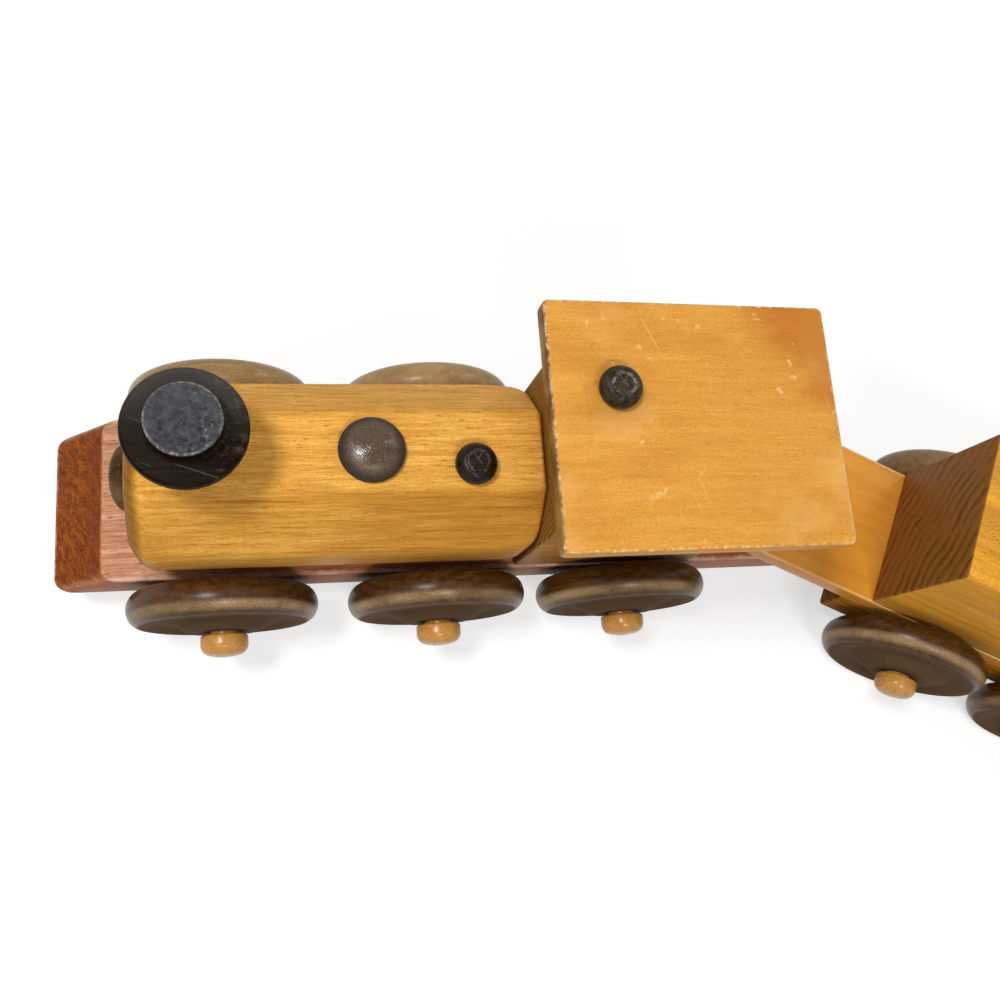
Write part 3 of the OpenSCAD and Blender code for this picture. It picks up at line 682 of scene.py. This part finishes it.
def makeWhistleBlack(name, look):
    rub = {"rim": "#5E4028", "rimMm": (2.6, 1.0), "chips": (1.0, 4.0, 0.7, 0.42, 0.6),
           "bared": (2.2, 5.0, 0.75, 0.36, 0.72), "arrisMm": (0.8, 0.0), "aboveMm": (4.4, 5.0),
           "insideMm": 0.4, "cross": (((-1.3, 2.4), (1.2, -1.4), 0.32), ((1.2, 2.3), (-0.6, 0.0), 0.32))}
    material, add, wood = turnedTimber(name, look)
    height, radius, flat = wood["split"].outputs["Z"], wood["radius"], look["flatMm"]
    chips = patches(add, wood["grain"], rub["chips"])
    colour = paint(add, wood["colour"], rub["rim"], (height, *rub["rimMm"]), chips)
    # bared patches, cross marks on the flat and a rubbed arris round it
    colour = paint(add, colour, look["bared"], patches(add, wood["grain"], rub["bared"]), look["baredDepth"])
    marks = [lineMark(add, wood["spot"], *line) for line in rub["cross"]]
    marks = add("ShaderNodeMath", {0: marks[0], 1: marks[1]}, operation="MAXIMUM")
    colour = paint(add, colour, look["mark"], marks, (radius, flat, flat - rub["insideMm"]),
                   look["markDepth"])
    off = add("ShaderNodeMath", {0: radius, 1: flat}, operation="SUBTRACT")
    off = add("ShaderNodeMath", {0: off}, operation="ABSOLUTE")
    colour = paint(add, colour, look["arris"], (off, *rub["arrisMm"]), (height, *rub["aboveMm"]), chips,
                   look["arrisDepth"])
    finishCoat(add, look, wood, colour)
    return material


# Walnut-stained turned button: dark brown and glossy, with fine rings left by the lathe
domeWalnut = {**plainTimber, "pale": "#503820", "dark": "#2C1C0E", "ring": "#2A1B0E", "cloud": "#4A351E",
              "fleck": "#1A120B", "end": "#3E2B18", "endRing": "#281A0E", "roughness": 0.15,
              "specular": 0.5, "ringPitchMm": 0.5, "grooveDepth": 0.4, "reliefStrength": 0.48,
              "dullRoughness": 0.85, "dullMm": (4.5, 8.5), "groove": "#7E6444", "glint": "#9A7C4C",
              "glintDepth": 0.55, "edge": "#160D06", "edgeDepth": 0.85, "edgeMm": (6.0, 9.4)}

# The headlight is the same button, duller
lampWalnut = {**domeWalnut, "pale": "#806645", "dark": "#58442A", "cloud": "#6E5636", "ring": "#4C3820",
              "roughness": 0.5, "specular": 0.06, "grooveDepth": 0.15, "edgeDepth": 0.15}


def makeDomeWalnut(name, look):
    turning = {"uneven": (1.2, 4.0, 0.7, 0.4, 0.7), "levels": (0.1, 0.6), "rise": 0.5,
               "glints": (0.45, 3.0, 0.8, 0.5, 0.72), "pits": (0.35, 2.0, 0.5), "pitRise": 0.8}
    material, add, wood = turnedTimber(name, look)
    grain, radius = wood["grain"], wood["radius"]
    turns = mask(add, radius, 2 * math.pi / look["ringPitchMm"])
    turns = add("ShaderNodeMath", {0: turns}, operation="SINE")
    groove = mask(add, turns, patches(add, grain, turning["uneven"]))
    colour = paint(add, wood["colour"], look["groove"], (groove, *turning["levels"]), look["grooveDepth"])
    colour = paint(add, colour, look["glint"], patches(add, grain, turning["glints"]), look["glintDepth"])
    # painted shade: the button darkens towards its rim
    colour = paint(add, colour, look["edge"], (radius, *look["edgeMm"]), look["edgeDepth"])
    roughness = mask(add, (radius, *look["dullMm"], look["roughness"], look["dullRoughness"]))
    pits = patches(add, grain, turning["pits"])
    height = add("ShaderNodeMath", {0: pits, 1: turning["pitRise"], 2: wood["height"]},
                 operation="MULTIPLY_ADD")
    height = add("ShaderNodeMath", {0: groove, 1: turning["rise"], 2: height}, operation="MULTIPLY_ADD")
    finishCoat(add, look, wood, colour, height, roughness)
    return material


# Engine boards and blocks

chassisLook = {"noseRun": 16.6 * mm, "noseCorner": 4.6 * mm, "ease": 1.1 * mm}


def makeChassis():
    # a board whose front end slopes back, with its two upright nose edges well rounded
    look = chassisLook
    low, high = chassisBox
    block = sawnBlock((noseX, low.y, low.z), high)
    pickEdges(block, lambda a, b: max(a.x, b.x) < noseX + mm and min(a.z, b.z) > low.z + mm)
    bpy.ops.transform.translate(value=(look["noseRun"], 0, 0))
    slopeEnd = noseX + look["noseRun"] + mm
    easeEdges(block, look["noseCorner"], 8, lambda a, b: max(a.x, b.x) < slopeEnd and abs(a.z - b.z) > mm)
    easeEdges(block, look["ease"])
    return settle(block)


boilerLook = {"chamferWidth": 14.4 * mm, "chamferHeight": 16.2 * mm, "frontRound": 8 * mm,
              "rearRound": 2.4 * mm, "rearCorner": 6 * mm, "ease": 2.6 * mm}


def makeBoiler():
    # a block sawn to eight sides, then its ends and its long edges rounded
    low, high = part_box("boiler")
    block = sawnBlock(low, high)
    across, up = boilerLook["chamferWidth"], boilerLook["chamferHeight"]
    easeEdges(block, boilerLook["rearCorner"], 6,
              lambda a, b: min(a.x, b.x) > high.x - mm and abs(a.z - b.z) > mm)
    editMode()
    for sideY, y in ((-1, low.y), (1, high.y)):
        for sideZ, z in ((-1, low.z), (1, high.z)):
            bpy.ops.mesh.select_all(action="SELECT")
            bpy.ops.mesh.bisect(plane_co=(0, y - sideY * across, z), plane_no=(0, sideY * up, sideZ * across),
                                use_fill=True, clear_outer=True)
    objectMode()
    easeEdges(block, boilerLook["frontRound"], 10, lambda a, b: a.x < low.x + mm and b.x < low.x + mm)
    atRear = high.x - boilerLook["rearCorner"] - mm
    easeEdges(block, boilerLook["rearRound"], 5, lambda a, b: min(a.x, b.x) > atRear)
    easeEdges(block, boilerLook["ease"], 5, lambda a, b: abs(a.x - b.x) > (high.x - low.x) / 2)
    return settle(block, smoothAngle=50)


cabLook = {"windowDiameter": 25.4 * mm, "windowHeight": 42 * mm, "ease": 1.1 * mm, "drillPast": 5 * mm}


def makeCab():
    # a block with a round window drilled through it
    low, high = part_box("cab")
    block = sawnBlock(low, high)
    easeEdges(block, cabLook["ease"])
    centre = (low + high) / 2
    clearSelection()
    bpy.ops.mesh.primitive_cylinder_add(vertices=96, radius=cabLook["windowDiameter"] / 2,
                                        depth=high.y - low.y + 2 * cabLook["drillPast"],
                                        rotation=(math.pi / 2, 0, 0),
                                        location=(centre.x, centre.y, low.z + cabLook["windowHeight"]))
    drill = bpy.context.object
    bpy.context.view_layer.objects.active = block
    cut = block.modifiers.new("window", "BOOLEAN")
    cut.object = drill
    cut.operation = "DIFFERENCE"
    bpy.ops.object.modifier_apply(modifier="window")
    bpy.data.objects.remove(drill)
    return settle(block)


roofLook = {"corner": 2 * mm, "ease": 1.5 * mm}


def makeRoof():
    low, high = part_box("cab_roof")
    block = sawnBlock(low, high)
    easeEdges(block, roofLook["corner"], 5, lambda a, b: abs(a.z - b.z) > mm)
    easeEdges(block, roofLook["ease"])
    return settle(block)


# Turned pieces

wheelLook = {"diameter": 57.2 * mm, "thickness": 11.2 * mm, "treadRound": 4.8 * mm, "hub": 21 * mm,
             "hubProud": 1.9 * mm, "hubEase": 0.6 * mm, "dish": 1.7 * mm, "bore": 8.86 * mm,
             "turnDeg": 137.5, "dishSteps": 20}


def wheelFace(proud):
    # one face from the bore out to the tread: hub, then a dished ring
    look = wheelLook
    tread = look["diameter"] / 2 - look["treadRound"]
    hub, half = look["hub"] / 2, look["thickness"] / 2
    points = [(look["bore"] / 2, half + proud), (hub - look["hubEase"], half + proud)]
    for i in range(look["dishSteps"] + 1):
        t = i / look["dishSteps"]
        height = half - look["dish"] * math.sin(math.pi * t) ** 2 + proud * (1 - t) ** 3
        points.append((hub + (tread - hub) * t, height))
    return points


def makeWheel():
    # turned with its hub proud at the top
    look = wheelLook
    tread = look["diameter"] / 2 - look["treadRound"]
    rim = arcPoints(tread, 0, look["treadRound"], look["thickness"] / 2, 90, -90, 24)[1:-1]
    under = [(radius, -height) for radius, height in reversed(wheelFace(0))]
    return turnOnLathe(wheelFace(look["hubProud"]) + rim + under, bored=True)


pegLook = {"shank": 8.7 * mm, "length": 35 * mm, "head": 14.3 * mm, "headThick": 6.7 * mm,
           "round": 3.4 * mm, "underRound": 0.8 * mm, "lastDeg": 75, "tip": 0.8 * mm, "endPlay": 1.1 * mm}


def makePeg(length):
    # a dowel with a mushroom head, whose underside lies at height 0
    look = pegLook
    head, shank = look["head"] / 2, look["shank"] / 2
    last = math.radians(look["lastDeg"])
    roundX = head - look["round"]
    crownX = roundX + look["round"] * math.cos(last)
    crownH = crownX * math.tan(math.pi / 2 - last) / 2
    roundZ = look["headThick"] - crownH - look["round"] * math.sin(last)
    under, tip = look["underRound"], look["tip"]
    profile = [(shank - tip, -length), (shank, tip - length), (shank, 0)]
    profile += arcPoints(head - under, under, under, under, -90, 0, 4)
    profile += arcPoints(roundX, roundZ, look["round"], look["round"], 0, look["lastDeg"], 8)
    profile += [(crownX * t, look["headThick"] - crownH * t * t) for t in (0.85, 0.7, 0.5, 0.3, 0.1)]
    return turnOnLathe(profile, 64)


stackLook = {"height": 28.8 * mm, "crown": 30.6 * mm, "crownEdge": 1.1 * mm, "crownSide": 1.8 * mm,
             "crownRise": 0.4 * mm, "lip": 18.6 * mm, "lipHeight": 5.6 * mm, "lipEdge": 0.7 * mm,
             "lipFoot": 0.6 * mm, "waist": 15 * mm, "cove": 1.6 * mm, "flareFoot": 5 * mm,
             "flareSteps": 20, "tenon": 9.5 * mm, "tenonLength": 8 * mm}


def makeStack():
    # tenon, cove at the foot, waist, flare, crown and the raised ring, in one turning
    look = stackLook
    waist, crown, lip, cove = look["waist"] / 2, look["crown"] / 2, look["lip"] / 2, look["cove"]
    edge, top, ease, foot = look["crownEdge"], look["height"], look["lipEdge"], look["lipFoot"]
    shoulderZ = top - look["lipHeight"]
    crownTop = shoulderZ - look["crownRise"]
    crownZ = crownTop - look["crownSide"] - 2 * edge
    flareZ = look["flareFoot"]
    profile = [(look["tenon"] / 2, -look["tenonLength"]), (look["tenon"] / 2, 0), (waist + cove, 0)]
    profile += arcPoints(waist + cove, flareZ - cove, cove, cove, -90, -180, 6)
    for i in range(look["flareSteps"] + 1):
        t = math.pi / 2 * i / look["flareSteps"]
        profile.append((waist + (crown - edge - waist) * (1 - math.cos(t)),
                        flareZ + (crownZ - flareZ) * math.sin(t)))
    profile += arcPoints(crown - edge, crownZ + edge, edge, edge, -60, 0, 6)
    profile += arcPoints(crown - edge, crownTop - edge, edge, edge, 0, 90, 8)
    profile += [(lip + foot, shoulderZ), (lip, shoulderZ + foot)]
    profile += arcPoints(lip - ease, top - ease, ease, ease, 0, 90, 6)
    profile += [(lip * t, top) for t in (0.7, 0.4, 0.1)]
    return turnOnLathe(profile, 128)


buttonLook = {"diameter": 18.6 * mm, "height": 5.6 * mm, "skirt": 1.2 * mm, "tenon": 9.5 * mm,
              "tenonLength": 8 * mm, "footInset": 0.8 * mm, "skirtInset": 0.2 * mm, "skirtFoot": 0.5 * mm}


def makeButton():
    # a domed button with a tenon
    look = buttonLook
    radius, tenon = look["diameter"] / 2, look["tenon"] / 2
    profile = [(tenon, -look["tenonLength"]), (tenon, 0), (radius - look["footInset"], 0),
               (radius - look["skirtInset"], look["skirtFoot"])]
    profile += arcPoints(0, look["skirt"], radius, look["height"] - look["skirt"], 0, 88, 22)
    return turnOnLathe(profile)


whistleLook = {"diameter": 12 * mm, "height": 5.6 * mm, "shank": 5.6 * mm, "shoulder": 2.3 * mm,
               "flat": 6 * mm, "footInset": 1.4 * mm, "sideDeg": (-35, 84), "boilerShank": 9 * mm,
               "roofShank": 15.4 * mm}


def makeWhistle(shankLength):
    # a small peg with a round shoulder and a flat top
    look = whistleLook
    head = look["diameter"] / 2
    shoulder, flat = look["shoulder"], look["flat"] / 2
    profile = [(look["shank"] / 2, -shankLength), (look["shank"] / 2, 0), (head - look["footInset"], 0)]
    profile += arcPoints(flat, shoulder, head - flat, look["height"] - shoulder, *look["sideDeg"], 16)
    profile += [(flat * t, look["height"]) for t in (0.8, 0.5, 0.2)]
    return turnOnLathe(profile, 64)


# Tender boards

deckLook = {"tongueRadius": 25.2 * mm, "length": 171.5 * mm, "rearCorner": 1.8 * mm, "ease": 0.9 * mm}


def makeDeck():
    # a disc cut in half and drawn out behind, which makes a board with a half-round tongue
    hair = 0.01 * mm
    low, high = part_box("tender_deck")
    radius, length = deckLook["tongueRadius"], deckLook["length"]
    clearSelection()
    bpy.ops.mesh.primitive_circle_add(vertices=96, radius=radius, location=(0, 0, low.z), fill_type="NGON")
    deck = bpy.context.object
    bpy.ops.object.transform_apply(location=True, rotation=True, scale=True)
    editMode()
    bpy.ops.mesh.select_all(action="SELECT")
    bpy.ops.mesh.bisect(plane_co=(0, 0, 0), plane_no=(1, 0, 0), use_fill=False, clear_outer=True)
    pickEdges(deck, lambda a, b: abs(a.x) < hair and abs(b.x) < hair)
    bpy.ops.mesh.extrude_region_move(TRANSFORM_OT_translate={"value": (length, 0, 0)})
    bpy.ops.mesh.select_mode(type="FACE")
    bpy.ops.mesh.select_all(action="SELECT")
    bpy.ops.mesh.extrude_region_move(TRANSFORM_OT_translate={"value": (0, 0, high.z - low.z)})
    bpy.ops.mesh.select_all(action="SELECT")
    bpy.ops.mesh.dissolve_limited(angle_limit=math.radians(1))
    bpy.ops.mesh.normals_make_consistent(inside=False)
    objectMode()
    easeEdges(deck, deckLook["rearCorner"], 5,
              lambda a, b: min(a.x, b.x) > length - hair and abs(a.z - b.z) > mm)
    easeEdges(deck, deckLook["ease"], 4, lambda a, b: abs(a.z - b.z) < hair)
    return settle(deck, toTender)


tenderLook = {"width": 50.4 * mm, "frameX": 41 * mm, "frameLength": 128 * mm, "bodyX": 47.8 * mm,
              "bodyLength": 114.3 * mm, "ease": 1.1 * mm}


def makeTenderBlock(node, start, length):
    # start is measured from the hitch pin
    low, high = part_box(node)
    half = tenderLook["width"] / 2
    block = sawnBlock((start, -half, low.z), (start + length, half, high.z))
    easeEdges(block, tenderLook["ease"])
    return settle(block, toTender)


# Materials, then the pieces themselves

whistleWood = makeWhistleBlack("whistleBlackStainedBeech", whistleBlack)
roofWhistleWood = makeWhistleBlack("roofWhistleStainedBeech", roofWhistleBlack)
stackWood = makeStackBlack()
domeWood = makeDomeWalnut("domeStainedBeech", domeWalnut)
lampWood = makeDomeWalnut("headlightStainedBeech", lampWalnut)
wheelWood = makeWheelWalnut("wheelStainedBeech", wheelWalnut)
paintedLitWheelWood = makeWheelWalnut("wheelFadedBeech", wheelPaintedLit)
paintedHalfLitWheelWood = makeWheelWalnut("wheelDimBeech", wheelPaintedHalfLit)
pegWood = makePegBirch()
print("materials of turned pieces made")

standFor(makeChassis(), "engine_chassis", makePadauk())
standFor(makeBoiler(), "boiler", makeBoilerPine())
standFor(makeCab(), "cab", makeTimber("cabVarnishedPine", cabPine))
standFor(makeRoof(), "cab_roof", makeRoofPine())
standFor(makeDeck(), "tender_deck", makeDeckPine())
standFor(makeTenderBlock("tender_frame", tenderLook["frameX"], tenderLook["frameLength"]),
         "tender_frame", makeTimber("frameStainedPine", frameStained, toTender))
standFor(makeTenderBlock("tender_body", tenderLook["bodyX"], tenderLook["bodyLength"]),
         "tender_body", makeTimber("tenderVarnishedPine", tenderPine, toTender))
print("boards and blocks made")

standFor(settle(makeStack(), footOf("smokestack", stackLook["height"])), "smokestack", stackWood)
standFor(settle(makeButton(), footOf("steam_dome", buttonLook["height"])), "steam_dome", domeWood)
lampLow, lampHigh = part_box("headlight")
lampFoot = (lampLow + lampHigh) / 2
lampFoot.x = lampLow.x + buttonLook["height"]
standFor(settle(makeButton(), Matrix.Translation(lampFoot) @ Matrix.Rotation(-math.pi / 2, 4, "Y")),
         "headlight", lampWood)
for node, shankLength, wood in (("boiler_whistle", whistleLook["boilerShank"], whistleWood),
                                ("roof_whistle", whistleLook["roofShank"], roofWhistleWood)):
    standFor(settle(makeWhistle(shankLength), footOf(node, whistleLook["height"])), node, wood)
pinFoot = footOf("hitch_pin", pegLook["headThick"])
pinLength = pinFoot.translation.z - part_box("hitch_pin")[0].z
standFor(settle(makePeg(pinLength), pinFoot), "hitch_pin", pegWood)

wheelPattern = makeWheel()
pegPattern = makePeg(pegLook["length"])
for count, (wheelNode, joint) in enumerate(joints.items()):
    if not wheelNode.endswith("wheel"):
        continue
    axis = Vector(joint["axis"])
    hubwards = Matrix.Translation(joint["pos_m"]) @ (-axis).to_track_quat("Z", "X").to_matrix().to_4x4()
    # each wheel has stopped at its own angle
    turned = hubwards @ Matrix.Rotation(math.radians(wheelLook["turnDeg"] * count), 4, "Z")
    isLeft = "left" in wheelNode
    # painted light: the right side's wheels take lighter copies of the same stain
    rightWood = paintedHalfLitWheelWood if "tender" in wheelNode else paintedLitWheelWood
    standFor(settle(copyOf(wheelPattern), turned), wheelNode, wheelWood if isLeft else rightWood)
    outwards = -axis if isLeft else axis
    reach = wheelLook["thickness"] / 2 + (wheelLook["hubProud"] if isLeft else 0) + pegLook["endPlay"]
    atHead = Matrix.Translation(Vector(joint["pos_m"]) + outwards * reach)
    standFor(settle(copyOf(pegPattern), atHead @ outwards.to_track_quat("Z", "X").to_matrix().to_4x4()),
             wheelNode.replace("wheel", "peg"), pegWood)
bpy.data.objects.remove(wheelPattern)
bpy.data.objects.remove(pegPattern)
print("turned pieces made")


# Floor, light and camera

def seenByCamera(add):
    # 1 for what the camera sees, straight or by way of a mirror or glass, and 0 for other light
    ray = add("ShaderNodeLightPath")
    indirect = add("ShaderNodeMath", {0: ray.outputs["Is Glossy Ray"],
                   1: ray.outputs["Is Transmission Ray"]}, operation="MAXIMUM")
    return add("ShaderNodeMath", {0: ray.outputs["Is Camera Ray"], 1: indirect}, operation="MAXIMUM")


# Matt grey, and its glow in metres from the train and in strength
floorLook = {"size": 12, "grey": "#BCBCBC", "glow": (0.5, 1.8, 0.6, 1.0), "white": "#FFFFFF"}


def makeFloor():
    clearSelection()
    bpy.ops.mesh.primitive_plane_add(size=floorLook["size"], location=(0, 0, 0))
    floor = bpy.context.object
    floor.name = "paleFloor"
    material, add = startMaterial("paleFloor")
    # the floor glows more away from the lamps' reach, and so stays pale right out to the horizon
    away = add("ShaderNodeVectorMath", {0: add("ShaderNodeTexCoord").outputs["Object"]}, operation="LENGTH")
    strength = mask(add, seenByCamera(add), (away, *floorLook["glow"]))
    matt = add("ShaderNodeBsdfDiffuse", {"Color": hexColour(floorLook["grey"])})
    glow = add("ShaderNodeEmission", {"Color": hexColour(floorLook["white"]), "Strength": strength})
    add("ShaderNodeOutputMaterial", {"Surface": add("ShaderNodeAddShader", {0: matt, 1: glow})})
    floor.data.materials.append(material)


skyLook = {"white": "#FFFFFF", "light": 0.3, "shown": 1.0}


def makeWorld():
    # white where the camera sees it, and dimmer as light on the train
    world = bpy.data.worlds.new("studio")
    bpy.context.scene.world = world
    world.use_nodes = True
    world.node_tree.nodes.clear()
    add = functools.partial(addNode, world.node_tree)
    strength = mask(add, (seenByCamera(add), 0.0, 1.0, skyLook["light"], skyLook["shown"]))
    sky = add("ShaderNodeBackground", {"Color": hexColour(skyLook["white"]), "Strength": strength})
    add("ShaderNodeOutputWorld", {"Surface": sky})


lampAim = Vector((-0.05, 0.03, 0.05))
lamps = {"ceilingLamp": {"place": (-0.48, 0.07, 1.0), "size": (0.2, 0.2), "watts": 5.8},
         "nearLamp": {"place": (-0.05, -0.72, 1.06), "size": (0.4, 0.08), "watts": 4.6},
         "windowLamp": {"place": (0.95, 0.65, 0.75), "size": (0.2, 0.25), "watts": 2.4}}


def makeLamp(name, look):
    data = bpy.data.lights.new(name, "AREA")
    data.shape = "RECTANGLE"
    data.size, data.size_y = look["size"]
    data.energy = look["watts"]
    lamp = bpy.data.objects.new(name, data)
    bpy.context.scene.collection.objects.link(lamp)
    lamp.location = look["place"]
    lamp.rotation_euler = (lampAim - Vector(look["place"])).to_track_quat("-Z", "Y").to_euler()


# Solved from the photograph
cameraLook = {"fromNose": Vector((61.129, -78.553, 352.772)) * mm, "turnDeg": (14.151, -13.974, -4.604),
              "focalPixels": 1010.206, "centrePixels": (519.101, 500.200), "framePixels": 1000,
              "sensorMm": 36, "clipStart": 10 * mm}


def makeCamera():
    look = cameraLook
    data = bpy.data.cameras.new("photoCamera")
    data.sensor_width = look["sensorMm"]
    data.lens = look["focalPixels"] / look["framePixels"] * look["sensorMm"]
    data.shift_x = 0.5 - look["centrePixels"][0] / look["framePixels"]
    data.shift_y = look["centrePixels"][1] / look["framePixels"] - 0.5
    data.clip_start = look["clipStart"]
    camera = bpy.data.objects.new("photoCamera", data)
    bpy.context.scene.collection.objects.link(camera)
    camera.location = Vector((noseX, middleY, 0)) + look["fromNose"]
    camera.rotation_euler = [math.radians(a) for a in look["turnDeg"]]
    bpy.context.scene.camera = camera


makeFloor()
makeWorld()
for lampName, lampLook in lamps.items():
    makeLamp(lampName, lampLook)
makeCamera()
bpy.context.scene.view_settings.view_transform = "Standard"
print("stage, lamps and camera made")
